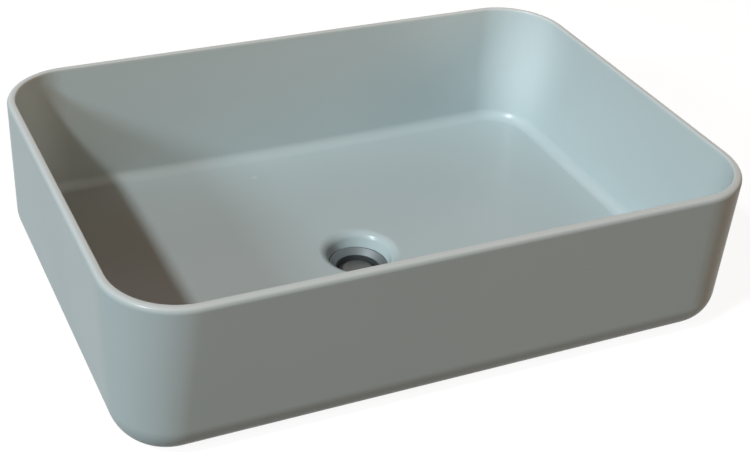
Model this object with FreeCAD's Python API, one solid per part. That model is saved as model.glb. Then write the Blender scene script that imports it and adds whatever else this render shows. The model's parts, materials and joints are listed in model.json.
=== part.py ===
import FreeCAD, Part
import math
import os

from FreeCAD import Vector

# Countertop basin: a thin-rimmed rectangular bowl of glazed china, with the push waste in its drain.
# Millimetres. The origin is the middle of the foot, on the countertop. +X is right, +Y back, +Z up.

# Bowl, outside
basin_width = 500.0
basin_depth = 345.0
basin_height = 130.0
rim_corner_radius = 55.0
base_corner_radius = 40.0
wall_draft = 5.0
base_edge_round = 28.0

# Bowl, inside
rim_thickness = 6.5
rim_outer_round = 4.1
rim_inner_round = 1.2
floor_inset = 18.0
floor_corner_radius = 40.0
floor_round = 10.0
floor_fall = 1.3
dish_spread = 3.5
dish_height = 19.0
dish_round = 8.0
drain_edge_round = 0.8
drain_forward = 4.5

# Bowl, underside
floor_thickness = 10.0
foot_width = 12.0
foot_corner_radius = 12.0
foot_edge_round = 1.5
boss_radius = 38.0
boss_recess = 0.8
pocket_round = 4.0
ledge_thickness = 3.0

# Waste body: a turned lip and barrel with a three-armed bridge that carries the cartridge
barrel_radius = 20.955
barrel_wall = 2.05
throat_wall = 2.75
tail_level = -88.0
lip_overlap = 2.75
lip_thickness = 2.6
lip_edge_round = 0.5
mouth_rim = 1.1
throat_depth = 4.5
ledge_width = 2.9
ledge_height = 2.0
bridge_arms = 3
bridge_arm_width = 4.0
bridge_thickness = 8.0
hub_radius = 8.5
tail_chamfer = 1.0
thread_runout = 6.0
relief_width = 2.0
relief_depth = 0.6

# Seals and back nut that clamp the bowl's drain boss
flange_seal_thickness = 0.8
lower_seal_radius = 33.0
lower_seal_thickness = 5.0
lower_seal_taper = 3.0
slip_washer_radius = 32.0
slip_washer_thickness = 1.5
back_nut_across_flats = 54.0
back_nut_height = 9.0
back_nut_chamfer = 1.5

# Plug
plug_depth = 5.0
plug_radius = 13.0
plug_dome = 0.7
plug_thickness = 3.5
plug_edge_round = 0.6
plug_hub_radius = 6.0
plug_hub_length = 8.0
plug_seal_thickness = 2.5
plug_seal_lip = 1.2
retainer_radius = 13.0
retainer_wall = 2.0
retainer_chamfer = 1.5
open_travel = 8.0
press_travel = 1.5

# Push cartridge
plunger_radius = 3.5
plunger_stud_radius = 2.5
plunger_stud_length = 6.0
plunger_shoulder_radius = 5.0
plunger_shoulder_height = 1.5
plunger_collar_radius = 5.2
plunger_collar_height = 3.0
plunger_spigot_radius = 2.4
plunger_spigot_length = 14.0
sleeve_wall = 1.4
sleeve_base = 2.5
sleeve_stud_radius = 4.0
sleeve_stud_length = 15.0
cartridge_cap_plate = 2.0
cartridge_cap_skirt = 5.0
cartridge_cap_wall = 1.2
index_ring_height = 4.5
index_teeth = 8
index_tooth_height = 1.6
rotor_height = 4.0
spring_length = 18.0
spring_turns = 6
spring_wire = 0.9
spring_radius = 4.1
lock_nut_across_flats = 13.0
lock_nut_height = 5.0

# Clearances
thread_clearance = 0.05
slide_clearance = 0.05
turn_clearance = 0.05
hole_clearance = 0.95
lip_clearance = 0.3
seal_clearance = 0.3
running_gap = 0.3
stop_gap = 0.5
overshoot = 5.0
same_size = 0.01

# Levels and radii that follow from the sizes above
fall_slope = math.tan(math.radians(floor_fall))
foot_inset = wall_draft + base_edge_round + foot_width
hole_radius = barrel_radius + hole_clearance
lip_radius = barrel_radius + lip_overlap
rebate_radius = lip_radius + lip_clearance
dish_radius = rebate_radius + dish_spread
ledge_level = boss_recess + ledge_thickness
lip_bottom = ledge_level + flange_seal_thickness
lip_top = lip_bottom + lip_thickness
throat_radius = barrel_radius - throat_wall
tail_bore = barrel_radius - barrel_wall
throat_bottom = lip_top - throat_depth
plug_top = lip_top - plug_depth
plug_under = plug_top - plug_thickness
seal_under = plug_under - plug_seal_thickness
plug_seal_radius = throat_radius - seal_clearance
throat_ledge = seal_under - press_travel - running_gap
hub_end = plug_under - plug_hub_length
retainer_bottom = hub_end - running_gap - retainer_wall
shoulder_bottom = retainer_bottom - plunger_shoulder_height
cartridge_top = shoulder_bottom - press_travel - stop_gap
sleeve_top = cartridge_top - cartridge_cap_plate
sleeve_bore = plunger_collar_radius + running_gap
sleeve_radius = sleeve_bore + sleeve_wall
index_bottom = sleeve_top - index_ring_height
collar_top = index_bottom - index_tooth_height - open_travel - stop_gap
collar_bottom = collar_top - plunger_collar_height
rotor_top = collar_bottom - running_gap
rotor_bottom = rotor_top - rotor_height
spring_top = rotor_bottom - running_gap
spring_bottom = spring_top - spring_length
sleeve_floor = spring_bottom - running_gap
sleeve_bottom = sleeve_floor - sleeve_base
bridge_bottom = sleeve_bottom - bridge_thickness
washer_top = boss_recess - lower_seal_thickness
nut_top = washer_top - slip_washer_thickness
nut_bottom = nut_top - back_nut_height
relief_top = nut_bottom - thread_runout
relief_bottom = relief_top - relief_width


def rounded_outline(width, depth, radius, level):
    """A rectangle with round corners, centred on the Z axis, at one level."""
    x, y = width / 2, depth / 2
    cut = radius * (1 - math.sqrt(0.5))
    points = []
    for sx, sy in ((1, 1), (-1, 1), (-1, -1), (1, -1)):
        side = Vector(sx * x, sy * (y - radius), level)
        end = Vector(sx * (x - radius), sy * y, level)
        middle = Vector(sx * (x - cut), sy * (y - cut), level)
        points.append((side, middle, end) if sx * sy > 0 else (end, middle, side))
    edges = []
    for number, (first, middle, last) in enumerate(points):
        edges.append(Part.Arc(first, middle, last).toShape())
        edges.append(Part.LineSegment(last, points[(number + 1) % 4][0]).toShape())
    return Part.Wire(edges)


def tapered(lower, upper):
    """The straight-walled solid between two outlines."""
    return Part.makeLoft([lower, upper], True, True)


def turned(profile):
    """A solid of revolution about the Z axis from (radius, level) corners."""
    corners = [Vector(radius, 0, level) for radius, level in profile]
    face = Part.Face(Part.makePolygon(corners + corners[:1]))
    return face.revolve(Vector(0, 0, 0), Vector(0, 0, 1), 360)


def ring(inner, outer, bottom, top):
    return turned([(inner, bottom), (outer, bottom), (outer, top), (inner, top)])


def hexagon(across_flats, bottom, height):
    corner = across_flats / math.sqrt(3)
    angles = [math.radians(60 * number) for number in range(7)]
    points = [Vector(corner * math.cos(angle), corner * math.sin(angle), bottom) for angle in angles]
    return Part.Face(Part.makePolygon(points)).extrude(Vector(0, 0, height))


def circles_at(shape, radius, level):
    """The round edges of a turned form that have this radius and level."""
    found = []
    for edge in shape.Edges:
        if edge.Degenerated or not isinstance(edge.Curve, Part.Circle):
            continue
        if abs(edge.Curve.Radius - radius) < same_size and abs(edge.Curve.Center.z - level) < same_size:
            found.append(edge)
    return found


def edges_at_level(shape, level):
    flat = [edge for edge in shape.Edges if edge.BoundBox.ZLength < same_size]
    return [edge for edge in flat if abs(edge.BoundBox.ZMin - level) < same_size]


def on_drain(shape):
    """Moves a piece turned about the Z axis to the drain's axis."""
    return shape.translated(Vector(0, -drain_forward, 0))


def floor_level(radius):
    """The bowl's floor falls on a cone to the edge of the dish."""
    return dish_height + (radius - dish_radius) * fall_slope


def inner_outline(level):
    """The inside of the wall: it leans in and its corners tighten from the rim to the floor."""
    share = (basin_height - level) / (basin_height - dish_height)
    inset = rim_thickness + (floor_inset - rim_thickness) * share
    rim_inner_radius = rim_corner_radius - rim_thickness
    radius = rim_inner_radius + (floor_corner_radius - rim_inner_radius) * share
    return rounded_outline(basin_width - 2 * inset, basin_depth - 2 * inset, radius, level)


def outer_block():
    base_width = basin_width - 2 * wall_draft
    base_depth = basin_depth - 2 * wall_draft
    base = rounded_outline(base_width, base_depth, base_corner_radius, 0)
    rim = rounded_outline(basin_width, basin_depth, rim_corner_radius, basin_height)
    block = tapered(base, rim)
    block = block.makeFillet(rim_outer_round, edges_at_level(block, basin_height))
    return block.makeFillet(base_edge_round, edges_at_level(block, 0))


def bowl_space():
    """The hollow that holds the water, with a soft round where the walls meet the falling floor."""
    walls = tapered(inner_outline(0), inner_outline(basin_height + overshoot))
    reach = basin_width
    top = basin_height + 2 * overshoot
    above_floor = on_drain(turned([(0, floor_level(0)), (reach, floor_level(reach)), (reach, top), (0, top)]))
    space = walls.common(above_floor)
    wall_foot = []
    for edge in space.Edges:
        near_drain = min(math.hypot(v.Point.x, v.Point.y + drain_forward) for v in edge.Vertexes)
        if edge.BoundBox.ZMax < floor_level(basin_width) and near_drain > dish_radius:
            wall_foot.append(edge)
    return space.makeFillet(floor_round, wall_foot)


def drain_space():
    """The dish, the rebate for the waste's lip and the hole for its barrel."""
    dish_top = floor_level(dish_radius)
    profile = [(0, -overshoot), (hole_radius, -overshoot), (hole_radius, ledge_level),
               (rebate_radius, ledge_level), (rebate_radius, lip_top), (dish_radius, dish_top),
               (dish_radius, dish_top + overshoot), (0, dish_top + overshoot)]
    return on_drain(turned(profile))


def underside_pocket():
    """The recess inside the foot ring, with the drain boss left standing in it."""
    outline = rounded_outline(basin_width - 2 * foot_inset, basin_depth - 2 * foot_inset, foot_corner_radius,
                              -overshoot)
    prism = Part.Face(outline).extrude(Vector(0, 0, basin_height))
    reach = basin_width
    ceiling = [(0, -overshoot), (reach, -overshoot), (reach, floor_level(reach) - floor_thickness),
               (0, floor_level(0) - floor_thickness)]
    pocket = prism.common(on_drain(turned(ceiling)))
    boss = on_drain(ring(0, boss_radius, boss_recess, basin_height))
    pocket = pocket.cut(boss)
    roof = []
    for edge in pocket.Edges:
        reaches = [math.hypot(v.Point.x, v.Point.y + drain_forward) - boss_radius for v in edge.Vertexes]
        crosses = min(reaches) < same_size < max(reaches)
        if edge.BoundBox.ZMin > boss_recess + same_size and not crosses:
            roof.append(edge)
    return pocket.makeFillet(pocket_round, roof)


def basin_bowl():
    bowl = outer_block().cut(bowl_space()).cut(drain_space()).cut(underside_pocket())
    bowl = bowl.makeFillet(dish_round, circles_at(bowl, dish_radius, floor_level(dish_radius)))
    bowl = bowl.makeFillet(drain_edge_round, circles_at(bowl, rebate_radius, lip_top))
    pocket_reach = basin_width / 2 - foot_inset + same_size
    foot_inner = [edge for edge in edges_at_level(bowl, 0) if edge.BoundBox.XMax < pocket_reach]
    foot_inner = [edge for edge in foot_inner if edge.BoundBox.XMin > -pocket_reach]
    foot_inner = [edge for edge in foot_inner if abs(edge.CenterOfMass.y) < basin_depth / 2 - foot_inset + same_size]
    bowl = bowl.makeFillet(foot_edge_round, foot_inner)
    inner_rim = inner_outline(basin_height)
    rim_edges = edges_at_level(bowl, basin_height)
    rim_edges = [edge for edge in rim_edges if edge.distToShape(inner_rim)[0] < same_size]
    return bowl.makeFillet(rim_inner_round, rim_edges)


def waste_body():
    ledge_radius = throat_radius - ledge_width
    ledge_foot = throat_ledge - ledge_height
    mouth_radius = lip_radius - mouth_rim
    body = turned([(lip_radius, lip_bottom), (lip_radius, lip_top), (mouth_radius, lip_top),
                   (throat_radius, throat_bottom), (throat_radius, throat_ledge), (ledge_radius, throat_ledge),
                   (ledge_radius, ledge_foot), (tail_bore, ledge_foot - tail_bore + ledge_radius),
                   (tail_bore, tail_level), (barrel_radius - tail_chamfer, tail_level),
                   (barrel_radius, tail_level + tail_chamfer), (barrel_radius, relief_bottom),
                   (barrel_radius - relief_depth, relief_bottom), (barrel_radius - relief_depth, relief_top),
                   (barrel_radius, relief_top), (barrel_radius, lip_bottom)])
    body = body.makeFillet(lip_edge_round, circles_at(body, lip_radius, lip_top))
    bore = sleeve_stud_radius + thread_clearance
    arms = []
    for number in range(bridge_arms):
        arm = Part.makeBox(tail_bore + barrel_wall / 2, bridge_arm_width, bridge_thickness,
                           Vector(0, -bridge_arm_width / 2, bridge_bottom))
        arms.append(arm.rotated(Vector(0, 0, 0), Vector(0, 0, 1), 90 + number * 360 / bridge_arms))
    hub = ring(0, hub_radius, bridge_bottom, sleeve_bottom)
    bridge = hub.multiFuse(arms).cut(ring(0, bore, bridge_bottom - overshoot, sleeve_bottom + overshoot))
    return on_drain(body.fuse(bridge).removeSplitter())


def flange_seal():
    return on_drain(ring(barrel_radius + seal_clearance, lip_radius, ledge_level, lip_bottom))


def lower_seal():
    inner = barrel_radius + seal_clearance
    return on_drain(turned([(inner, washer_top), (lower_seal_radius, washer_top),
                            (lower_seal_radius - lower_seal_taper, boss_recess), (inner, boss_recess)]))


def slip_washer():
    return on_drain(ring(barrel_radius + seal_clearance, slip_washer_radius, nut_top, washer_top))


def chamfered_hexagon(across_flats, bottom, height, chamfer):
    """A nut blank: a hexagon whose corners are turned down at both faces."""
    corner = across_flats / math.sqrt(3)
    face_radius = corner - chamfer
    drop = chamfer * math.tan(math.radians(30))
    top = bottom + height
    blank = turned([(0, bottom), (face_radius, bottom), (corner, bottom + drop), (corner, top - drop),
                    (face_radius, top), (0, top)])
    return hexagon(across_flats, bottom, height).common(blank)


def nut(across_flats, bore, bottom, height, chamfer):
    hole = ring(0, bore, bottom - overshoot, bottom + height + overshoot)
    return chamfered_hexagon(across_flats, bottom, height, chamfer).cut(hole)


def back_nut():
    bore = barrel_radius + thread_clearance
    return on_drain(nut(back_nut_across_flats, bore, nut_bottom, back_nut_height, back_nut_chamfer))


def plug_cap():
    bore = plunger_stud_radius + thread_clearance
    bore_top = hub_end + plunger_stud_length
    edge_level = plug_top - plug_dome
    rim = Vector(plug_radius, 0, edge_level)
    crown = Vector(0, 0, plug_top)
    shoulder = Vector(plug_radius / 2, 0, plug_top - plug_dome / 4)
    corners = [crown, Vector(0, 0, bore_top), Vector(bore, 0, bore_top), Vector(bore, 0, hub_end),
               Vector(plug_hub_radius, 0, hub_end), Vector(plug_hub_radius, 0, plug_under),
               Vector(plug_radius, 0, plug_under), rim]
    edges = [Part.LineSegment(a, b).toShape() for a, b in zip(corners, corners[1:])]
    edges.append(Part.Arc(rim, shoulder, crown).toShape())
    cap = Part.Face(Part.Wire(edges)).revolve(Vector(0, 0, 0), Vector(0, 0, 1), 360)
    return on_drain(cap.makeFillet(plug_edge_round, circles_at(cap, plug_radius, edge_level)))


def plug_seal():
    inner = plug_hub_radius + slide_clearance
    return on_drain(turned([(inner, seal_under), (plug_seal_radius, seal_under),
                            (plug_seal_radius, seal_under + plug_seal_lip), (plug_radius, plug_under),
                            (inner, plug_under)]))


def plug_retainer():
    hub_bore = plug_hub_radius + slide_clearance
    stud_bore = plunger_stud_radius + slide_clearance
    return on_drain(turned([(stud_bore, retainer_bottom), (retainer_radius - retainer_chamfer, retainer_bottom),
                            (retainer_radius, retainer_bottom + retainer_chamfer),
                            (retainer_radius, seal_under), (hub_bore, seal_under),
                            (hub_bore, retainer_bottom + retainer_wall),
                            (stud_bore, retainer_bottom + retainer_wall)]))


def plunger():
    stud_top = hub_end + plunger_stud_length - running_gap
    spigot_end = rotor_top - plunger_spigot_length
    return on_drain(turned([(0, spigot_end), (plunger_spigot_radius, spigot_end),
                            (plunger_spigot_radius, collar_bottom), (plunger_collar_radius, collar_bottom),
                            (plunger_collar_radius, collar_top), (plunger_radius, collar_top),
                            (plunger_radius, shoulder_bottom), (plunger_shoulder_radius, shoulder_bottom),
                            (plunger_shoulder_radius, retainer_bottom), (plunger_stud_radius, retainer_bottom),
                            (plunger_stud_radius, stud_top), (0, stud_top)]))


def saw_teeth(inner, outer, root, height):
    """A crown of slanted teeth that stand on the level root."""
    teeth = []
    step = 360 / index_teeth
    for number in range(index_teeth):
        outline = [Vector(outer, 0, root), Vector(outer, 0, root + height)]
        angle = math.radians(step)
        far = Vector(outer * math.cos(angle), outer * math.sin(angle), root)
        near = [Vector(point.x * inner / outer, point.y * inner / outer, point.z) for point in (*outline, far)]
        outer_face = Part.makePolygon([*outline, far, outline[0]])
        inner_face = Part.makePolygon([*near, near[0]])
        tooth = Part.makeLoft([inner_face, outer_face], True, True)
        teeth.append(tooth.rotated(Vector(0, 0, 0), Vector(0, 0, 1), number * step))
    return teeth


def index_ring():
    inner = plunger_radius + running_gap
    outer = sleeve_bore - slide_clearance
    body = ring(inner, outer, index_bottom, sleeve_top)
    crown = body.multiFuse(saw_teeth(inner, outer, index_bottom, -index_tooth_height))
    return on_drain(crown.common(ring(inner, outer, index_bottom - index_tooth_height, sleeve_top)))


def rotor():
    inner = plunger_spigot_radius + turn_clearance
    outer = plunger_collar_radius
    root = rotor_top - index_tooth_height
    body = ring(inner, outer, rotor_bottom, root)
    crown = body.multiFuse(saw_teeth(inner, outer, root, index_tooth_height))
    return on_drain(crown.common(ring(inner, outer, rotor_bottom, rotor_top)))


def arc_between(start, tangent_reach, end):
    """One arc from start to end whose tangents meet at tangent_reach."""
    chord_middle = (start + end) / 2
    half_angle = math.acos((end - start).Length / 2 / (tangent_reach - start).Length)
    rise = math.tan(half_angle / 2) / math.tan(half_angle)
    return Part.Arc(start, chord_middle + (tangent_reach - chord_middle) * rise, end).toShape()


def helix_biarcs(radius, bottom, top, turns):
    """A helix as pairs of tangent arcs, one pair to each quarter turn."""
    pitch = (top - bottom) / turns
    quarters = 4 * turns

    def point(quarter):
        angle = math.pi / 2 * quarter
        return Vector(radius * math.cos(angle), radius * math.sin(angle), bottom + pitch * quarter / 4)

    def tangent(quarter):
        angle = math.pi / 2 * quarter
        return Vector(-radius * math.sin(angle), radius * math.cos(angle), pitch / (2 * math.pi)).normalize()

    edges = []
    for quarter in range(quarters):
        first, last = point(quarter), point(quarter + 1)
        leave, arrive = tangent(quarter), tangent(quarter + 1)
        chord = last - first
        a = 2 * (leave.dot(arrive) - 1)
        b = -2 * chord.dot(leave + arrive)
        reach = (-b - math.sqrt(b * b - 4 * a * chord.dot(chord))) / (2 * a)
        if reach < 0:
            reach = (-b + math.sqrt(b * b - 4 * a * chord.dot(chord))) / (2 * a)
        before, after = first + leave * reach, last - arrive * reach
        joint = (before + after) / 2
        edges.append(arc_between(first, before, joint))
        edges.append(arc_between(joint, after, last))
    return Part.Wire(edges)


def least_self_gap(path, wire, spacing):
    """The least clear distance between two stretches of a wound wire, measured on points along it."""
    points = path.discretize(Distance=spacing)
    skip = int(4 * wire / spacing)
    least = None
    for number, point in enumerate(points):
        for other in points[number + skip:]:
            distance = point.distanceToPoint(other)
            least = distance if least is None else min(least, distance)
    return least - wire


def cartridge_spring():
    path = helix_biarcs(spring_radius, spring_bottom + spring_wire / 2, spring_top - spring_wire / 2, spring_turns)
    start = path.Edges[0]
    section = Part.Wire(Part.Circle(start.valueAt(start.FirstParameter), start.tangentAt(start.FirstParameter),
                                    spring_wire / 2).toShape())
    shell = Part.BRepOffsetAPI.MakePipeShell(path)
    shell.add(section)
    shell.build()
    shell.makeSolid()
    print("spring: least gap to itself", round(least_self_gap(path, spring_wire, spring_wire / 3), 2), "mm")
    return on_drain(shell.shape())


def cartridge_sleeve():
    stud_end = sleeve_bottom - sleeve_stud_length
    return on_drain(turned([(0, stud_end), (sleeve_stud_radius, stud_end), (sleeve_stud_radius, sleeve_bottom),
                            (sleeve_radius, sleeve_bottom), (sleeve_radius, sleeve_top), (sleeve_bore, sleeve_top),
                            (sleeve_bore, sleeve_floor), (0, sleeve_floor)]))


def cartridge_cap():
    shaft_bore = plunger_radius + slide_clearance
    skirt_bore = sleeve_radius + thread_clearance
    outer = skirt_bore + cartridge_cap_wall
    skirt_end = sleeve_top - cartridge_cap_skirt
    return on_drain(turned([(shaft_bore, sleeve_top), (skirt_bore, sleeve_top), (skirt_bore, skirt_end),
                            (outer, skirt_end), (outer, cartridge_top), (shaft_bore, cartridge_top)]))


def cartridge_lock_nut():
    bore = sleeve_stud_radius + thread_clearance
    chamfer = sleeve_stud_radius - plunger_radius
    return on_drain(nut(lock_nut_across_flats, bore, bridge_bottom - lock_nut_height, lock_nut_height, chamfer))


pieces = (basin_bowl, waste_body, flange_seal, lower_seal, slip_washer, back_nut, plug_cap, plug_seal,
          plug_retainer, plunger, index_ring, rotor, cartridge_spring, cartridge_sleeve, cartridge_cap,
          cartridge_lock_nut)

os.makedirs("parts", exist_ok=True)
for piece in pieces:
    shape = piece()
    name = piece.__name__
    shape.exportStep(f"parts/{name}.step")
    print(name, "solids", len(shape.Solids), "valid", shape.isValid(), "volume", round(shape.Volume / 1000, 2), "cm3")
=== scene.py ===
# %% [markdown]
# A countertop basin of glazed china, with the push waste in its drain. The solids come from CAD, and this
# lesson gives them their looks: smooth shells for what the eye meets, glazes and metals, a plain floor, light
# and a camera. Everything is in metres, in the frame of the solids: the countertop is Z = 0, +X is right and
# +Y is back.

# %% Load the frame
import json
import math

import bmesh
import bpy
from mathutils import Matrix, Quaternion, Vector


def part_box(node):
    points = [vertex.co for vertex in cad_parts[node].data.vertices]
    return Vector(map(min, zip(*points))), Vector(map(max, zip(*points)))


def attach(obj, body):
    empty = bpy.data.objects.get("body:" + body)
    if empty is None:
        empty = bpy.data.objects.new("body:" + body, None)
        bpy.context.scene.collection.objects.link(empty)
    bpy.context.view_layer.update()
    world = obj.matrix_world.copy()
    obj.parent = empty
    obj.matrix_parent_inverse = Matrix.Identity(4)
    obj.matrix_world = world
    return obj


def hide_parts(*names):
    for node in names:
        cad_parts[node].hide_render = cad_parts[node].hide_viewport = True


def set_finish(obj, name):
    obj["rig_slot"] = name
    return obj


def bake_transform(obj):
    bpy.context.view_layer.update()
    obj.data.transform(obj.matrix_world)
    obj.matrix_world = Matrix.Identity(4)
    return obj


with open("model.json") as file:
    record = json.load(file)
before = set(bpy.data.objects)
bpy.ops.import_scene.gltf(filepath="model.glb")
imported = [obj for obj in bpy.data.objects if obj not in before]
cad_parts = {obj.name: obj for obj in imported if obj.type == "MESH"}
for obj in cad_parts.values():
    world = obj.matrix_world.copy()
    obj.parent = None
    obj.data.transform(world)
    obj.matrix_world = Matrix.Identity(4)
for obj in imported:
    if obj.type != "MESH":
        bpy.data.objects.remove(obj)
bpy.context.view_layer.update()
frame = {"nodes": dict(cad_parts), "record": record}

MM = 0.001

# %% [markdown]
# The main sizes are read from the solids, so that the shells lie on them. The bowl gives the rim, and the
# waste gives the axis that every turned piece shares. Only what a box can't tell, such as a round or a wall,
# is typed.

# %% Sizes of the bowl
bowl_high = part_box("basin_bowl")[1]
waste_low, waste_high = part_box("waste_body")
half_width = bowl_high.x
half_depth = bowl_high.y
rim_level = bowl_high.z
drain = Vector(((waste_low.x + waste_high.x) / 2, (waste_low.y + waste_high.y) / 2, 0))
lip_radius = waste_high.x - drain.x
lip_level = waste_high.z
print("rim", round(2 * half_width, 4), "x", round(2 * half_depth, 4))
print("drain at", [round(v, 4) for v in drain])

# %% [markdown]
# The bowl grows ring by ring, and its first ring is the outside of the rim. A rounded rectangle is a plane
# whose four corners are bevelled to arcs. Its face is thrown away and its long sides are divided. A typed
# list of points would do, but the bevel gives true quarter circles from just a size and a radius.

# %% The first ring, round the rim
corner_steps = 14
side_steps = 24
rim_corner = 55 * MM

bowl = bmesh.new()
pattern = bowl.verts.layers.float_vector.new("pattern")
plane = bmesh.ops.create_grid(bowl, x_segments=1, y_segments=1, size=1)["verts"]
bmesh.ops.scale(bowl, vec=(half_width, half_depth, 1), verts=plane)
bmesh.ops.translate(bowl, vec=(0, 0, rim_level), verts=plane)
bmesh.ops.bevel(bowl, geom=plane, offset=rim_corner, offset_type="OFFSET", segments=corner_steps,
                profile=0.5, affect="VERTICES", material=-1)
bmesh.ops.delete(bowl, geom=bowl.faces, context="FACES_ONLY")
sides = sorted(bowl.edges, key=lambda edge: edge.calc_length())[-4:]
bmesh.ops.subdivide_edges(bowl, edges=sides, cuts=side_steps - 1)
rim_outer = list(bowl.edges)
print("a ring of", len(rim_outer), "edges")

# %% [markdown]
# Every ring has the same points, so each point keeps where it is in the pattern: how far along its straight
# side, and which way its corner arc faces there. With that, a point can be placed on a rounded rectangle of
# any inset and corner.

# %% Places on an outline
for point in bowl.verts:
    core_x = max(rim_corner - half_width, min(half_width - rim_corner, point.co.x))
    core_y = max(rim_corner - half_depth, min(half_depth - rim_corner, point.co.y))
    facing = math.atan2(point.co.y - core_y, point.co.x - core_x)
    point[pattern] = (core_x / (half_width - rim_corner), core_y / (half_depth - rim_corner), facing)
print("pattern kept by", len(bowl.verts), "points")


def on_outline(point, inset, corner, level):
    along_x, along_y, facing = point[pattern]
    x = along_x * (half_width - inset - corner) + corner * math.cos(facing)
    y = along_y * (half_depth - inset - corner) + corner * math.sin(facing)
    return Vector((x, y, level))


# %% [markdown]
# The wall leans in from the rim to the floor, and its corners tighten a little on the way. The floor is a
# very flat cone that falls to a dish round the drain. The foot of the wall has to lie on both, so its level
# is guessed, the cone is asked for its height there, and after a few rounds the two agree. Water runs
# straight to the drain, so a point of a round ring lies on the line from the drain to the foot of the wall.

# %% Walls, floor and dish
rim_thickness = 6.5 * MM
wall_depth = 111 * MM
wall_lean = 11.5 * MM / wall_depth
corner_lean = 8.5 * MM / wall_depth
fall_slope = math.tan(math.radians(1.3))
dish_spread = 3.8 * MM
dish_radius = lip_radius + dish_spread
dish_level = 19 * MM
rounds_to_agree = 4


def floor_level(place):
    away = math.hypot(place.x - drain.x, place.y - drain.y)
    return dish_level + (away - dish_radius) * fall_slope


def on_wall_foot(point):
    place = Vector((0, 0, dish_level))
    for _ in range(rounds_to_agree):
        depth = rim_level - place.z
        corner = rim_corner - rim_thickness - corner_lean * depth
        place = on_outline(point, rim_thickness + wall_lean * depth, corner, place.z)
        place.z = floor_level(place)
    return place


def on_circle(point, radius, level):
    spoke = on_wall_foot(point) - drain
    spoke.z = 0
    return drain + spoke.normalized() * radius + Vector((0, 0, level))


print("the floor falls to a dish of radius", round(dish_radius, 4))

# %% [markdown]
# A new ring is the last one extruded and moved to its places. Cast china has no seam: one shell runs from the
# rim down the wall, over the floor into the drain hole, out under the bowl to the foot, and up the outside to
# the rim again, where the last ring falls on the first. The wall is thin at the rim and thicker at the floor,
# and a shallow pocket inside the foot saves clay. Bridging separate rings would also do, but rings in one
# plane are apt to twist.

# %% The bowl's rings
wall_draft = 5 * MM
foot_corner = 40 * MM
foot_inset = 45 * MM
foot_inner_corner = 12 * MM
floor_thickness = 10 * MM
boss_radius = 38 * MM
boss_level = 0.8 * MM
lip_play = 0.3 * MM
lip_seat = 1.8 * MM
rebate_radius = lip_radius + lip_play
rebate_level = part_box("flange_seal")[0].z
hole_radius = lip_radius - lip_seat
same_place = 0.01 * MM


def roof(place):
    place.z = floor_level(place) - floor_thickness
    return place


def next_ring(ring, place):
    grown = bmesh.ops.extrude_edge_only(bowl, edges=ring)["geom"]
    points = {part for part in grown if isinstance(part, bmesh.types.BMVert)}
    for point in points:
        point.co = place(point)
    edges = [part for part in grown if isinstance(part, bmesh.types.BMEdge)]
    return [edge for edge in edges if set(edge.verts) <= points]


rim_inner = next_ring(
    rim_outer, lambda p: on_outline(p, rim_thickness, rim_corner - rim_thickness, rim_level))
wall_foot = next_ring(rim_inner, on_wall_foot)
dish_edge = next_ring(wall_foot, lambda p: on_circle(p, dish_radius, dish_level))
rebate_edge = next_ring(dish_edge, lambda p: on_circle(p, rebate_radius, lip_level))
rebate_floor = next_ring(rebate_edge, lambda p: on_circle(p, rebate_radius, rebate_level))
hole_top = next_ring(rebate_floor, lambda p: on_circle(p, hole_radius, rebate_level))
hole_bottom = next_ring(hole_top, lambda p: on_circle(p, hole_radius, boss_level))
boss_edge = next_ring(hole_bottom, lambda p: on_circle(p, boss_radius, boss_level))
boss_root = next_ring(boss_edge, lambda p: roof(on_circle(p, boss_radius, 0)))
pocket_root = next_ring(boss_root, lambda p: roof(on_outline(p, foot_inset, foot_inner_corner, 0)))
foot_inner = next_ring(pocket_root, lambda p: on_outline(p, foot_inset, foot_inner_corner, 0))
base = next_ring(foot_inner, lambda p: on_outline(p, wall_draft, foot_corner, 0))
next_ring(base, lambda p: on_outline(p, 0, rim_corner, rim_level))
bmesh.ops.remove_doubles(bowl, verts=bowl.verts, dist=same_place)
on_rim = {p for p in bowl.verts if (p.co - on_outline(p, 0, rim_corner, rim_level)).length < same_place}
rim_outer = [edge for edge in bowl.edges if set(edge.verts) <= on_rim]
print(len(bowl.faces), "faces, open edges", sum(not edge.is_manifold for edge in bowl.edges))

# %% [markdown]
# Glaze never leaves an edge sharp. Each ring where the wall turns is bevelled to its own round: the rim rolls
# over to the outside and keeps a narrow inner edge, the base is broadly rounded, the wall's foot and the dish
# softly, the rest little. A fillet of a given radius starts further from the edge the more the surface turns
# there, and the tangent below works that out. A wider round gets more segments.

# %% Rounds of the bowl
rim_outer_round = 4.1 * MM
rim_inner_round = 1.2 * MM
wall_foot_round = 10 * MM
dish_round = 8 * MM
rebate_round = 0.8 * MM
pocket_round = 4 * MM
foot_round = 1.5 * MM
base_round = 28 * MM


def soften(shell, ring, radius, segments):
    turn = sum(edge.calc_face_angle() for edge in ring) / len(ring)
    bmesh.ops.bevel(shell, geom=ring, offset=radius * math.tan(turn / 2), offset_type="OFFSET",
                    segments=segments, profile=0.5, affect="EDGES", material=-1, clamp_overlap=False)
    print("round of", round(radius / MM, 2), "mm over", round(math.degrees(turn), 1), "degrees")


bmesh.ops.recalc_face_normals(bowl, faces=bowl.faces)
for ring, radius, segments in (
        (rim_outer, rim_outer_round, 8), (rim_inner, rim_inner_round, 5), (wall_foot, wall_foot_round, 10),
        (dish_edge, dish_round, 10), (rebate_edge, rebate_round, 4), (boss_root, pocket_round, 4),
        (pocket_root, pocket_round, 4), (foot_inner, foot_round, 4), (base, base_round, 16)):
    soften(bowl, ring, radius, segments)

# %% [markdown]
# A bmesh becomes an object with a name. Doubles are merged and normals turned out, and every face is shaded
# smooth. The piece stands for a node and takes its finish from one of the record's slots. A rigid piece also
# rides on a body of the solids, and a weighted normal keeps its large flat faces flat beside their small
# rounds.

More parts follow.
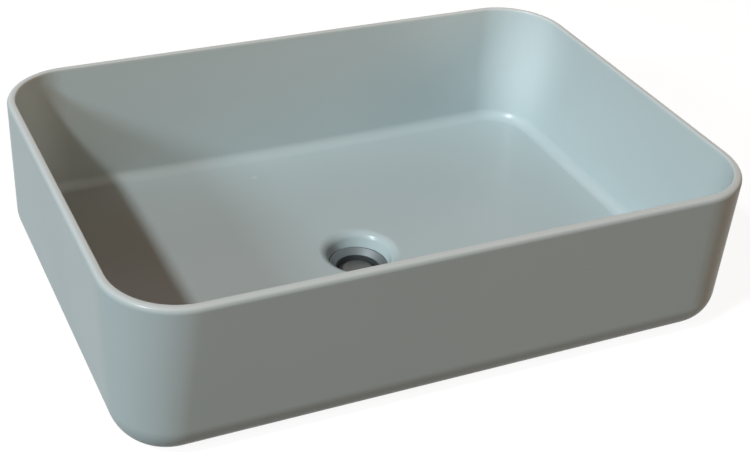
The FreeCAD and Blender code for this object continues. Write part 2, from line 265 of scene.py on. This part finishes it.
# %% From shell to piece
merge_distance = 0.002 * MM
flat_face_weight = 60


def smooth_piece(shell, node, slot):
    bmesh.ops.remove_doubles(shell, verts=shell.verts, dist=merge_distance)
    bmesh.ops.recalc_face_normals(shell, faces=shell.faces)
    for face in shell.faces:
        face.smooth = True
    mesh = bpy.data.meshes.new(node + "_shell")
    shell.to_mesh(mesh)
    shell.free()
    piece = bpy.data.objects.new(node + "_shell", mesh)
    bpy.context.scene.collection.objects.link(piece)
    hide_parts(node)
    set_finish(piece, slot)
    return piece


def finished_piece(shell, node, body, slot):
    piece = smooth_piece(shell, node, slot)
    piece.modifiers.new("flat faces stay flat", "WEIGHTED_NORMAL").weight = flat_face_weight
    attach(piece, body)
    print(piece.name, len(piece.data.polygons), "faces on", body)
    return piece


basin = finished_piece(bowl, "basin_bowl", "basin", "glazed_china")

# %% [markdown]
# The waste and the pieces round it are turned shapes, so one helper makes them all: a profile of radius and
# level is spun once round the drain's axis. Corners where the surface turns get a small bevel that catches
# the light, as a lathe hand breaks every edge. Another helper reads a turned piece's radius, bottom and top
# from its solid.

# %% A turned shell
turn_steps = 96
sharp_turn = math.radians(20)


def turned(profile, closed=True):
    shell = bmesh.new()
    corners = [shell.verts.new((drain.x + radius, drain.y, level)) for radius, level in profile]
    following = corners[1:] + corners[:1] if closed else corners[1:]
    lines = [shell.edges.new(pair) for pair in zip(corners, following)]
    bmesh.ops.spin(shell, geom=corners + lines, cent=drain, axis=(0, 0, 1), angle=math.tau,
                   steps=turn_steps, use_merge=True)
    bmesh.ops.remove_doubles(shell, verts=shell.verts, dist=merge_distance)
    bmesh.ops.recalc_face_normals(shell, faces=shell.faces)
    return shell


def break_edges(shell, width, segments=2):
    sharp = [edge for edge in shell.edges if edge.is_manifold and edge.calc_face_angle() > sharp_turn]
    bmesh.ops.bevel(shell, geom=sharp, offset=width, offset_type="OFFSET", segments=segments, profile=0.5,
                    affect="EDGES", material=-1, clamp_overlap=True)


def reach(node):
    low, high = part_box(node)
    return high.x - drain.x, low.z, high.z


print("turned pieces have", turn_steps, "steps round the drain")

# %% [markdown]
# The waste's lip sits in the bowl's rebate. Inside, a cone leads down to the throat that the plug works in,
# with a ledge below it. Under the bowl the barrel carries a pipe thread for the back nut and the trap, with a
# plain groove between the two stretches, so its core is turned down to the thread's root.

# %% The waste's lip and barrel
lip_overlap = 2.75 * MM
throat_wall = 2.75 * MM
tail_wall = 2.05 * MM
mouth_rim = 1.1 * MM
throat_depth = 4.5 * MM
ledge_width = 2.9 * MM
ledge_below_seal = 1.8 * MM
ledge_thickness = 2 * MM
thread_depth = 0.9 * MM
core_into_nut = 2 * MM
waste_edge = 0.4 * MM

barrel_radius = lip_radius - lip_overlap
throat_radius = barrel_radius - throat_wall
tail_bore = barrel_radius - tail_wall
mouth_radius = lip_radius - mouth_rim
ledge_radius = throat_radius - ledge_width
core_radius = barrel_radius - thread_depth
tail_level = waste_low.z
lip_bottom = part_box("flange_seal")[1].z
ledge_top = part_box("plug_seal")[0].z - ledge_below_seal
ledge_bottom = ledge_top - ledge_thickness
nut_radius, nut_bottom, nut_top = reach("back_nut")
core_top = nut_bottom + core_into_nut

waste = turned([(lip_radius, lip_bottom), (lip_radius, lip_level), (mouth_radius, lip_level),
                (throat_radius, lip_level - throat_depth), (throat_radius, ledge_top),
                (ledge_radius, ledge_top), (ledge_radius, ledge_bottom),
                (tail_bore, ledge_bottom - tail_bore + ledge_radius), (tail_bore, tail_level),
                (core_radius, tail_level), (core_radius, core_top), (barrel_radius, core_top),
                (barrel_radius, lip_bottom)])
break_edges(waste, waste_edge, segments=3)
print("barrel", round(2 * barrel_radius / MM, 2), "mm, throat", round(2 * throat_radius / MM, 2), "mm")

# %% [markdown]
# A thread is a ridge that climbs as it turns, and spin makes that too: each step turns the ridge's section
# and moves it on by its share of the pitch. The section is broad at the root, sinks a little into the core
# and is narrow at the crest.

# %% The waste's thread
thread_pitch = 2.309 * MM
thread_steps = 48
half_root = 0.48 * thread_pitch
half_crest = 0.12 * thread_pitch
root_sink = 0.1 * MM
thread_into_nut = 1.5 * MM
thread_below_nut = 6 * MM
groove_height = 2 * MM
plain_tail = 0.5 * MM
root_radius = core_radius - root_sink
groove_top = nut_bottom - thread_below_nut
groove_bottom = groove_top - groove_height


def add_thread(shell, top, bottom):
    turns = int((top - bottom) / thread_pitch - 1)
    middle = top - thread_pitch / 2
    section = ((root_radius, half_root), (barrel_radius, half_crest), (barrel_radius, -half_crest),
               (root_radius, -half_root))
    corners = [shell.verts.new((drain.x + radius, drain.y, middle + rise)) for radius, rise in section]
    shell.faces.new(corners)
    lines = [shell.edges.get(pair) for pair in zip(corners, corners[1:] + corners[:1])]
    last = bmesh.ops.spin(shell, geom=corners + lines, cent=drain, axis=(0, 0, 1), angle=math.tau * turns,
                          steps=thread_steps * turns, dvec=(0, 0, -thread_pitch / thread_steps))["geom_last"]
    bmesh.ops.contextual_create(shell, geom=[part for part in last if isinstance(part, bmesh.types.BMEdge)])
    print("thread of", turns, "turns")


add_thread(waste, nut_bottom + thread_into_nut, groove_top)
add_thread(waste, groove_bottom, tail_level + plain_tail)

# %% [markdown]
# A bridge with three arms crosses the barrel and holds the push cartridge by a hub. From below it shows
# inside the tail. Arms are cubes, scaled, moved out and turned round the axis, and the hub is a small turned
# ring.

# %% The waste's bridge
bridge_height = 8 * MM
arm_count = 3
arm_width = 4 * MM
arm_start = 5 * MM
arm_bite = 1 * MM
hub_radius = 8.5 * MM
stud_bore = 4.05 * MM
bridge_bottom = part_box("cartridge_lock_nut")[1].z
bridge_top = bridge_bottom + bridge_height
arm_length = tail_bore + arm_bite - arm_start


def add_bridge(shell):
    arms = []
    for number in range(arm_count):
        arm = bmesh.ops.create_cube(shell, size=1)["verts"]
        bmesh.ops.scale(shell, vec=(arm_width, arm_length, bridge_height), verts=arm)
        bmesh.ops.translate(shell, vec=(0, arm_start + arm_length / 2, (bridge_top + bridge_bottom) / 2),
                            verts=arm)
        bmesh.ops.rotate(shell, cent=(0, 0, 0), verts=arm,
                         matrix=Quaternion((0, 0, 1), math.tau * number / arm_count).to_matrix())
        arms += arm
    bmesh.ops.translate(shell, vec=drain, verts=arms)
    hub = turned([(stud_bore, bridge_bottom), (hub_radius, bridge_bottom), (hub_radius, bridge_top),
                  (stud_bore, bridge_top)])
    mesh = bpy.data.meshes.new("hub")
    hub.to_mesh(mesh)
    hub.free()
    shell.from_mesh(mesh)
    bpy.data.meshes.remove(mesh)


add_bridge(waste)
waste_piece = finished_piece(waste, "waste_body", "basin", "chromed_brass")

# %% [markdown]
# Below the bowl a tapered rubber ring and a thin slip washer lie round the barrel. Both are turned.

# %% Lower seal and slip washer
seal_radius, seal_bottom, seal_top = reach("lower_seal")
washer_radius, washer_bottom, washer_top = reach("slip_washer")
seal_taper = 3 * MM
seal_edge = 0.5 * MM
washer_edge = 0.2 * MM
ring_play = 0.3 * MM
ring_bore = barrel_radius + ring_play

lower_seal = turned([(ring_bore, seal_bottom), (seal_radius, seal_bottom),
                     (seal_radius - seal_taper, seal_top), (ring_bore, seal_top)])
break_edges(lower_seal, seal_edge, segments=3)
lower_seal_piece = finished_piece(lower_seal, "lower_seal", "basin", "black_rubber")

slip_washer = turned([(ring_bore, washer_bottom), (washer_radius, washer_bottom), (washer_radius, washer_top),
                      (ring_bore, washer_top)])
break_edges(slip_washer, washer_edge)
slip_washer_piece = finished_piece(slip_washer, "slip_washer", "basin", "white_plastic")

# %% [markdown]
# A hexagonal nut clamps them all. It is a turned blank with chamfered faces, cut by six planes: where a flat
# meets a chamfer it leaves the curved edge that every real nut shows, and no bevel of a plain hexagon gives
# that.

# %% Back nut
nut_chamfer = 1.5 * MM
nut_play = 0.05 * MM
nut_bore = barrel_radius + nut_play
across_flats = 2 * nut_radius * math.cos(math.radians(30))


def hexagonal_nut(across_flats, bore, bottom, top, chamfer):
    corner = across_flats / math.sqrt(3)
    drop = chamfer * math.tan(math.radians(30))
    shell = turned([(bore, bottom), (corner - chamfer, bottom), (corner, bottom + drop), (corner, top - drop),
                    (corner - chamfer, top), (bore, top)])
    for number in range(6):
        outward = Quaternion((0, 0, 1), math.radians(30 + 60 * number)) @ Vector((1, 0, 0))
        cut = bmesh.ops.bisect_plane(shell, geom=shell.verts[:] + shell.edges[:] + shell.faces[:],
                                     plane_co=drain + outward * across_flats / 2, plane_no=outward,
                                     clear_outer=True)["geom_cut"]
        edges = [part for part in cut if isinstance(part, bmesh.types.BMEdge)]
        bmesh.ops.contextual_create(shell, geom=edges)
    return shell


back_nut = hexagonal_nut(across_flats, nut_bore, nut_bottom, nut_top, nut_chamfer)
back_nut_piece = finished_piece(back_nut, "back_nut", "basin", "bare_brass")

# %% [markdown]
# The plug is a satin disc with a slightly crowned top. It carries a rubber ring whose lip closes the throat.
# Both move with the plug's own body, up and down on the push cartridge.

# %% Plug and plug seal
plug_radius, plug_end, plug_top = reach("plug_cap")
plug_seal_radius, plug_seal_bottom, plug_seal_top = reach("plug_seal")
plug_crown = 0.7 * MM
plug_hub_radius = 6 * MM
plug_edge = 0.5 * MM
seal_lip = 1.2 * MM
seal_lip_edge = 0.25 * MM
crown_steps = 6

crown = []
for step in range(crown_steps + 1):
    share = step / crown_steps
    crown.append((plug_radius * share, plug_top - plug_crown * share ** 2))
plug = turned(crown + [(plug_radius, plug_seal_top), (plug_hub_radius, plug_seal_top),
                       (plug_hub_radius, plug_end), (0, plug_end)], closed=False)
break_edges(plug, plug_edge, segments=3)
plug_piece = finished_piece(plug, "plug_cap", "plug", "plug_metal")

plug_seal = turned([(plug_hub_radius, plug_seal_bottom), (plug_seal_radius, plug_seal_bottom),
                    (plug_seal_radius, plug_seal_bottom + seal_lip), (plug_radius, plug_seal_top),
                    (plug_hub_radius, plug_seal_top)])
break_edges(plug_seal, seal_lip_edge, segments=3)
plug_seal_piece = finished_piece(plug_seal, "plug_seal", "plug", "black_rubber")

# %% [markdown]
# The spring inside the cartridge is a coil of round wire, made as a thread is: a small circle that climbs as
# it spins. Its foot stands in the sleeve and its head follows the plug, so it changes length as the plug
# moves. Here it is made once at its full length, and its place is baked into its points.

# %% Spring
spring_low, spring_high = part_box("cartridge_spring")
wire_radius = 0.45 * MM
wire_sides = 10
coil_radius = 4.1 * MM
coil_turns = 6
coil_steps = 24
coil_rise = (spring_high.z - spring_low.z - 2 * wire_radius) / (coil_turns * coil_steps)

spring = bmesh.new()
wire = bmesh.ops.create_circle(spring, cap_ends=True, segments=wire_sides, radius=wire_radius)["verts"]
bmesh.ops.rotate(spring, cent=(0, 0, 0), verts=wire, matrix=Quaternion((1, 0, 0), math.pi / 2).to_matrix())
bmesh.ops.translate(spring, vec=drain + Vector((coil_radius, 0, spring_low.z + wire_radius)), verts=wire)
head = bmesh.ops.spin(spring, geom=wire + spring.edges[:], cent=drain, axis=(0, 0, 1),
                      angle=math.tau * coil_turns, steps=coil_steps * coil_turns,
                      dvec=(0, 0, coil_rise))["geom_last"]
bmesh.ops.contextual_create(spring, geom=[part for part in head if isinstance(part, bmesh.types.BMEdge)])
spring_piece = smooth_piece(spring, "cartridge_spring", "stainless_steel")
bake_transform(spring_piece)
print(spring_piece.name, [round(v / MM, 2) for v in spring_piece.dimensions], "mm")

# %% [markdown]
# Materials are node trees that read Object coordinates, which are metres on the object itself. A few helpers
# keep them short: one starts a material, one adds a node, and one sets a node's inputs, where another node's
# output is linked and any other value is typed in. The rest are nodes that come back often.

# %% Helpers for materials
def start_material(name):
    material = bpy.data.materials.new(name)
    material.use_nodes = True
    return material, material.node_tree.nodes["Principled BSDF"]


def feed(material, made, inputs):
    for socket, value in inputs.items():
        if isinstance(value, bpy.types.NodeSocket):
            material.node_tree.links.new(value, made.inputs[socket])
        else:
            made.inputs[socket].default_value = value


def add(material, kind, inputs, **settings):
    made = material.node_tree.nodes.new(kind)
    for name, value in settings.items():
        setattr(made, name, value)
    feed(material, made, inputs)
    return made


def place_on(material):
    return add(material, "ShaderNodeTexCoord", {}).outputs["Object"]


def grain(material, scale, detail):
    inputs = {"Vector": place_on(material), "Scale": scale, "Detail": detail}
    return add(material, "ShaderNodeTexNoise", inputs).outputs["Fac"]


def bumpy(material, height, strength, distance):
    inputs = {"Height": height, "Strength": strength, "Distance": distance}
    return add(material, "ShaderNodeBump", inputs).outputs["Normal"]


def between(material, factor, low, high):
    inputs = {"Value": factor, "To Min": low, "To Max": high}
    return add(material, "ShaderNodeMapRange", inputs).outputs["Result"]


def two_tone(material, factor, first, second):
    inputs = {0: factor, 6: (*first, 1), 7: (*second, 1)}
    return add(material, "ShaderNodeMix", inputs, data_type="RGBA").outputs[2]


print("material helpers ready")

# %% [markdown]
# The glaze is a pale blue-grey. Fired glaze is never quite even: it drifts a little in tone over a hand's
# breadth, its surface waves slightly, and it pulls thin over the rim, where the lighter body shows through.
# Inside the bowl it is poured and pools to a soft gloss, while the outside is sprayed thin and stays satin,
# and its colour there is painted a shade darker: painted shade on the outer walls. So one recipe makes two
# glazes that differ in tone and in how strongly and how sharply they reflect.

# %% Glaze
thin_band = 3 * MM
thin_share = 0.5
body_tone = (0.68, 0.7, 0.69, 1)


def make_glaze(name, first, second, strength, smooth, rough):
    material, shader = start_material(name)
    tone = two_tone(material, grain(material, scale=7, detail=2), first, second)
    height = add(material, "ShaderNodeSeparateXYZ", {"Vector": place_on(material)}).outputs["Z"]
    thin = add(material, "ShaderNodeMapRange",
               {"Value": height, "From Min": rim_level - thin_band, "From Max": rim_level, "To Min": 0,
                "To Max": thin_share}).outputs["Result"]
    colour = add(material, "ShaderNodeMix", {0: thin, 6: tone, 7: body_tone}, data_type="RGBA").outputs[2]
    waves = bumpy(material, grain(material, scale=45, detail=1), strength=0.12, distance=0.6 * MM)
    gloss = between(material, grain(material, scale=22, detail=3), smooth, rough)
    feed(material, shader, {"Base Color": colour, "Roughness": gloss, "Normal": waves,
                            "Specular IOR Level": strength})
    return material


glaze = make_glaze("glazed_china", (0.44, 0.53, 0.545), (0.48, 0.565, 0.58), strength=0.34, smooth=0.25,
                   rough=0.28)
# The satin glaze is painted about a tenth darker: painted shade on the outer walls.
satin_painted_shade_glaze = make_glaze("satin_painted_shade_china", (0.39, 0.465, 0.475), (0.425, 0.5, 0.51), strength=0.03, smooth=0.3,
                         rough=0.4)
print("made", glaze.name, "and", satin_painted_shade_glaze.name)

# %% [markdown]
# The foot is wiped clean before firing, so the bare clay shows there: off-white, dry and slightly gritty. A
# mesh can carry several materials, and each face says which one it wears: here that follows from which way
# the face looks. One that looks down at the foot is bare, one that looks away from the middle is satin.

# %% Bare clay
foot_zone = 1.5 * MM
steep = 0.7


def make_bare_clay():
    material, shader = start_material("bare_clay")
    grit = grain(material, scale=900, detail=4)
    stain = grain(material, scale=30, detail=3)
    feed(material, shader, {"Base Color": two_tone(material, stain, (0.62, 0.58, 0.5), (0.74, 0.71, 0.65)),
                            "Roughness": between(material, grit, low=0.75, high=0.95),
                            "Normal": bumpy(material, grit, strength=0.25, distance=0.3 * MM)})
    return material


basin.data.materials.append(glaze)
basin.data.materials.append(make_bare_clay())
basin.data.materials.append(satin_painted_shade_glaze)
for face in basin.data.polygons:
    from_middle = Vector((face.center.x, face.center.y, 0))
    if face.center.z < foot_zone and face.normal.z < -steep:
        face.material_index = 1
    # Faces that look outward wear the satin glaze and its painted shade.
    elif face.normal.z < steep and face.normal.dot(from_middle) > 0:
        face.material_index = 2
worn = [face.material_index for face in basin.data.polygons]
print("faces of gloss, clay and satin", [worn.count(number) for number in range(3)])

# %% [markdown]
# Turned metal keeps fine rings from the tool, so a noise that depends only on the distance from the axis
# varies the gloss. The same recipe serves chrome, satin metal, brass and steel, each with its colours and
# roughness, and a second, slow noise stands for handling and water marks. The colours of the chrome and of
# the plug's satin metal are painted far darker than such metal: painted dark reflections of a dim room, and
# for the plug down in its hole painted shade too.

# %% Turned metals
def make_turned_metal(name, first, second, smooth, rough):
    material, shader = start_material(name)
    flat = add(material, "ShaderNodeVectorMath", {0: place_on(material), 1: (1, 1, 0)},
               operation="MULTIPLY").outputs[0]
    radius = add(material, "ShaderNodeVectorMath", {0: flat, 1: drain}, operation="DISTANCE").outputs["Value"]
    rings = add(material, "ShaderNodeTexNoise", {"W": radius, "Scale": 2500, "Detail": 3},
                noise_dimensions="1D").outputs["Fac"]
    marks = grain(material, scale=60, detail=4)
    both = add(material, "ShaderNodeMath", {0: rings, 1: marks}, operation="MULTIPLY").outputs[0]
    feed(material, shader, {"Base Color": two_tone(material, marks, first, second), "Metallic": 1.0,
                            "Roughness": between(material, both, smooth, rough),
                            "Normal": bumpy(material, rings, strength=0.08, distance=0.1 * MM)})
    return material


# Chrome colour painted dark: painted dark reflections of a dim room.
painted_dark_chrome = make_turned_metal("chromed_brass", (0.13, 0.145, 0.15), (0.19, 0.21, 0.215), smooth=0.55, rough=0.8)
# Plug metal colour painted dark: painted shade in the drain and dark reflections of a dim room.
painted_dark_satin_metal = make_turned_metal("plug_metal", (0.12, 0.12, 0.115), (0.17, 0.17, 0.165), smooth=0.3,
                                rough=0.55)
brass = make_turned_metal("bare_brass", (0.62, 0.44, 0.2), (0.78, 0.6, 0.32), smooth=0.2, rough=0.5)
steel = make_turned_metal("stainless_steel", (0.5, 0.5, 0.5), (0.62, 0.62, 0.61), smooth=0.15, rough=0.4)
print("made", painted_dark_chrome.name, painted_dark_satin_metal.name, brass.name, steel.name)

# %% [markdown]
# Rubber and plastic are moulded. Rubber is nearly black with a dusty bloom, and plastic has a fine even tooth
# from the mould.

# %% Moulded rubber and plastic
def make_moulded(name, first, second, smooth, rough):
    material, shader = start_material(name)
    tooth = grain(material, scale=1800, detail=2)
    bloom = grain(material, scale=90, detail=3)
    feed(material, shader, {"Base Color": two_tone(material, bloom, first, second),
                            "Roughness": between(material, bloom, smooth, rough),
                            "Normal": bumpy(material, tooth, strength=0.15, distance=0.2 * MM)})
    return material


rubber = make_moulded("black_rubber", (0.012, 0.012, 0.013), (0.03, 0.03, 0.03), smooth=0.5, rough=0.75)
white_plastic = make_moulded("white_plastic", (0.68, 0.68, 0.65), (0.74, 0.74, 0.72), smooth=0.35, rough=0.5)
black_plastic = make_moulded("black_plastic", (0.015, 0.015, 0.017), (0.025, 0.025, 0.027), smooth=0.3,
                             rough=0.45)
print("made", rubber.name, white_plastic.name, black_plastic.name)

# %% [markdown]
# Each shell takes its material, and the solids that stay on show, most of them inside the cartridge, take
# theirs by the slot that the record gives them.

# %% Materials on the pieces
finishes = {"glazed_china": glaze, "chromed_brass": painted_dark_chrome, "plug_metal": painted_dark_satin_metal, "bare_brass": brass,
            "stainless_steel": steel, "black_rubber": rubber, "white_plastic": white_plastic,
            "black_plastic": black_plastic}
for piece in (waste_piece, lower_seal_piece, slip_washer_piece, back_nut_piece, plug_piece, plug_seal_piece,
              spring_piece):
    piece.data.materials.append(finishes[piece["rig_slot"]])
for part in frame["record"]["subparts"]:
    solid = frame["nodes"][part["node"]]
    solid.data.materials.clear()
    solid.data.materials.append(finishes[part["material_slot"]])

# %% [markdown]
# The floor and the world share one idea: the camera, reflections and glass see plain white, and all other
# light sees something dimmer. A light path node tells which kind of ray asks.

# %% What is seen as white
def seen_as_white(material):
    rays = add(material, "ShaderNodeLightPath", {}).outputs
    seen = add(material, "ShaderNodeMath", {0: rays["Is Camera Ray"], 1: rays["Is Glossy Ray"]},
               operation="MAXIMUM").outputs[0]
    return add(material, "ShaderNodeMath", {0: seen, 1: rays["Is Transmission Ray"]},
               operation="MAXIMUM").outputs[0]


print("camera, glossy and transmission rays see white")

# %% [markdown]
# The floor is a plain pale plane at countertop level. It is white where it is seen and keeps a faint shadow,
# and for bounced light it is a quiet grey. As any countertop under such a basin, it has a round cutout for
# the waste, so it is made as a ring: a short line spun round the drain. It has one side only, so that a view
# from below sees the foot and the waste.

# %% Floor
cutout_radius = 40 * MM
floor_radius = 4
floor_steps = 64
floor_grey = 0.14
floor_white = 0.92


def make_floor():
    material, shader = start_material("floor")
    tree = material.node_tree
    seen = seen_as_white(material)
    grey = (floor_grey, floor_grey, floor_grey, 1)
    plain = add(material, "ShaderNodeBsdfDiffuse", {"Color": grey}).outputs[0]
    white = add(material, "ShaderNodeEmission", {"Color": (1, 1, 1, 1), "Strength": floor_white}).outputs[0]
    lit = add(material, "ShaderNodeAddShader", {0: plain, 1: white}).outputs[0]
    shown = add(material, "ShaderNodeMixShader", {0: seen, 1: plain, 2: lit}).outputs[0]
    side = add(material, "ShaderNodeNewGeometry", {}).outputs["Backfacing"]
    clear = add(material, "ShaderNodeBsdfTransparent", {}).outputs[0]
    one_sided = add(material, "ShaderNodeMixShader", {0: side, 1: shown, 2: clear}).outputs[0]
    tree.nodes.remove(shader)
    tree.links.new(one_sided, tree.nodes["Material Output"].inputs["Surface"])
    return material


ground = bmesh.new()
ends = [ground.verts.new(drain + Vector((radius, 0, 0))) for radius in (cutout_radius, floor_radius)]
bmesh.ops.spin(ground, geom=ends + [ground.edges.new(ends)], cent=drain, axis=(0, 0, 1), angle=math.tau,
               steps=floor_steps, use_merge=True)
bmesh.ops.recalc_face_normals(ground, faces=ground.faces)
if ground.faces[:][0].normal.z < 0:
    bmesh.ops.reverse_faces(ground, faces=ground.faces)
ground_mesh = bpy.data.meshes.new("floor")
ground.to_mesh(ground_mesh)
ground.free()
floor = bpy.data.objects.new("floor", ground_mesh)
bpy.context.scene.collection.objects.link(floor)
ground_mesh.materials.append(make_floor())
print("floor", [round(v, 2) for v in floor.dimensions])

# %% [markdown]
# Light comes from the left, a little from the front. A small high lamp draws the crisp shadow of the left
# wall, and a broad low one the soft, cooler shadow beside it. A weak warm lamp, low at the front right, fills
# the shade of the front as a room does, and a lower, cooler one the back. These two only lift the shade, so
# reflections don't show them. Lamp power is worked out from the share of white that each should give a level
# surface.

# %% Lamps
lamp_distance = 8
lamp_aim = Vector((0, 0, 60 * MM))


def place_lamp(data, aim, direction):
    lamp = bpy.data.objects.new(data.name, data)
    bpy.context.scene.collection.objects.link(lamp)
    lamp.location = aim + direction * lamp_distance
    lamp.rotation_mode = "QUATERNION"
    lamp.rotation_quaternion = direction.to_track_quat("Z", "Y")
    print(data.name, round(data.energy, 1), "W")
    return lamp


def add_lamp(name, toward, share, tint, width, height):
    direction = Vector(toward).normalized()
    data = bpy.data.lights.new(name, "AREA")
    data.shape = "RECTANGLE"
    data.size = width
    data.size_y = height
    data.color = tint
    data.energy = share * math.pi ** 2 * lamp_distance ** 2 / direction.z
    return place_lamp(data, lamp_aim, direction)


low_direction = (-1.75, -0.7, 1)
add_lamp("high_lamp", (-0.88, -0.32, 1), share=0.41, tint=(0.97, 0.99, 0.99), width=0.6, height=0.5)
add_lamp("low_lamp", low_direction, share=0.2, tint=(0.76, 0.92, 1.0), width=1.1, height=1.1)
front_fill = add_lamp("front_fill", (0.7, -0.75, 0.24), share=0.047, tint=(0.93, 0.7, 0.51), width=4,
                      height=3)
back_fill = add_lamp("back_fill", (0.75, 0.85, 0.06), share=0.014, tint=(0.85, 0.93, 1.0), width=3,
                     height=0.6)
front_fill.visible_glossy = False
back_fill.visible_glossy = False

# %% [markdown]
# Two glossy walls and the floor meet in the far right corner and gather light there. Tracing every such path
# takes long and stays noisy, so a narrow, soft spot lamp on that corner stands for it. It comes from the side
# of the low lamp.

# %% Glow in the far corner
glow_aim = Vector((218, 148, 95)) * MM
glow_radius = 70 * MM
glow_lamp_radius = 20 * MM


def add_glow(name, aim, toward, share, tint):
    data = bpy.data.lights.new(name, "SPOT")
    data.color = tint
    data.spot_size = 2 * math.atan(glow_radius / lamp_distance)
    data.spot_blend = 1
    data.shadow_soft_size = glow_lamp_radius
    data.energy = share * 4 * math.pi ** 2 * lamp_distance ** 2
    return place_lamp(data, aim, Vector(toward).normalized())


add_glow("corner_glow", glow_aim, low_direction, share=0.28, tint=(1.0, 0.94, 0.94))

# %% [markdown]
# The world is white to the camera, to reflections and through glass, so the background is clean, and dim and
# warm to everything else, so it doesn't light the object more than a room would.

# %% World
def make_world(ambient):
    world = bpy.data.worlds.new("room")
    world.use_nodes = True
    colour = add(world, "ShaderNodeMix", {0: seen_as_white(world), 6: (*ambient, 1), 7: (1, 1, 1, 1)},
                 data_type="RGBA").outputs[2]
    feed(world, world.node_tree.nodes["Background"], {"Color": colour})
    return world


bpy.context.scene.world = make_world(ambient=(0.13, 0.05, 0.01))
bpy.context.scene.view_settings.view_transform = "Standard"
print("ambient light is dim and warm")

# %% [markdown]
# The camera stands where the photograph was taken, in front of the basin's left half and well above it,
# slightly rolled. The lens centre of the photograph isn't in the middle of its frame, and the shift carries
# that over.

# %% Camera
frame_width, frame_height = 750, 452
lens_centre_x, lens_centre_y = 300, 200
focal_pixels = 1390.7
sensor_width = 36
azimuth, elevation, roll = math.radians(-25.02), math.radians(32.40), math.radians(3.42)
camera_aim = Vector((-53.6, 0, 76.2)) * MM
camera_distance = 1.0751

back = Vector((math.sin(azimuth) * math.cos(elevation), -math.cos(azimuth) * math.cos(elevation),
               math.sin(elevation)))
lens = bpy.data.cameras.new("camera")
lens.sensor_width = sensor_width
lens.lens = focal_pixels * sensor_width / frame_width
lens.shift_x = (frame_width / 2 - lens_centre_x) / frame_width
lens.shift_y = (lens_centre_y - frame_height / 2) / frame_width
camera = bpy.data.objects.new("camera", lens)
bpy.context.scene.collection.objects.link(camera)
camera.rotation_mode = "QUATERNION"
camera.rotation_quaternion = back.to_track_quat("Z", "Y") @ Quaternion((0, 0, 1), roll)
camera.location = camera_aim + back * camera_distance
bpy.context.scene.camera = camera
print("camera at", [round(v, 3) for v in camera.location], "lens", round(lens.lens, 1), "mm")
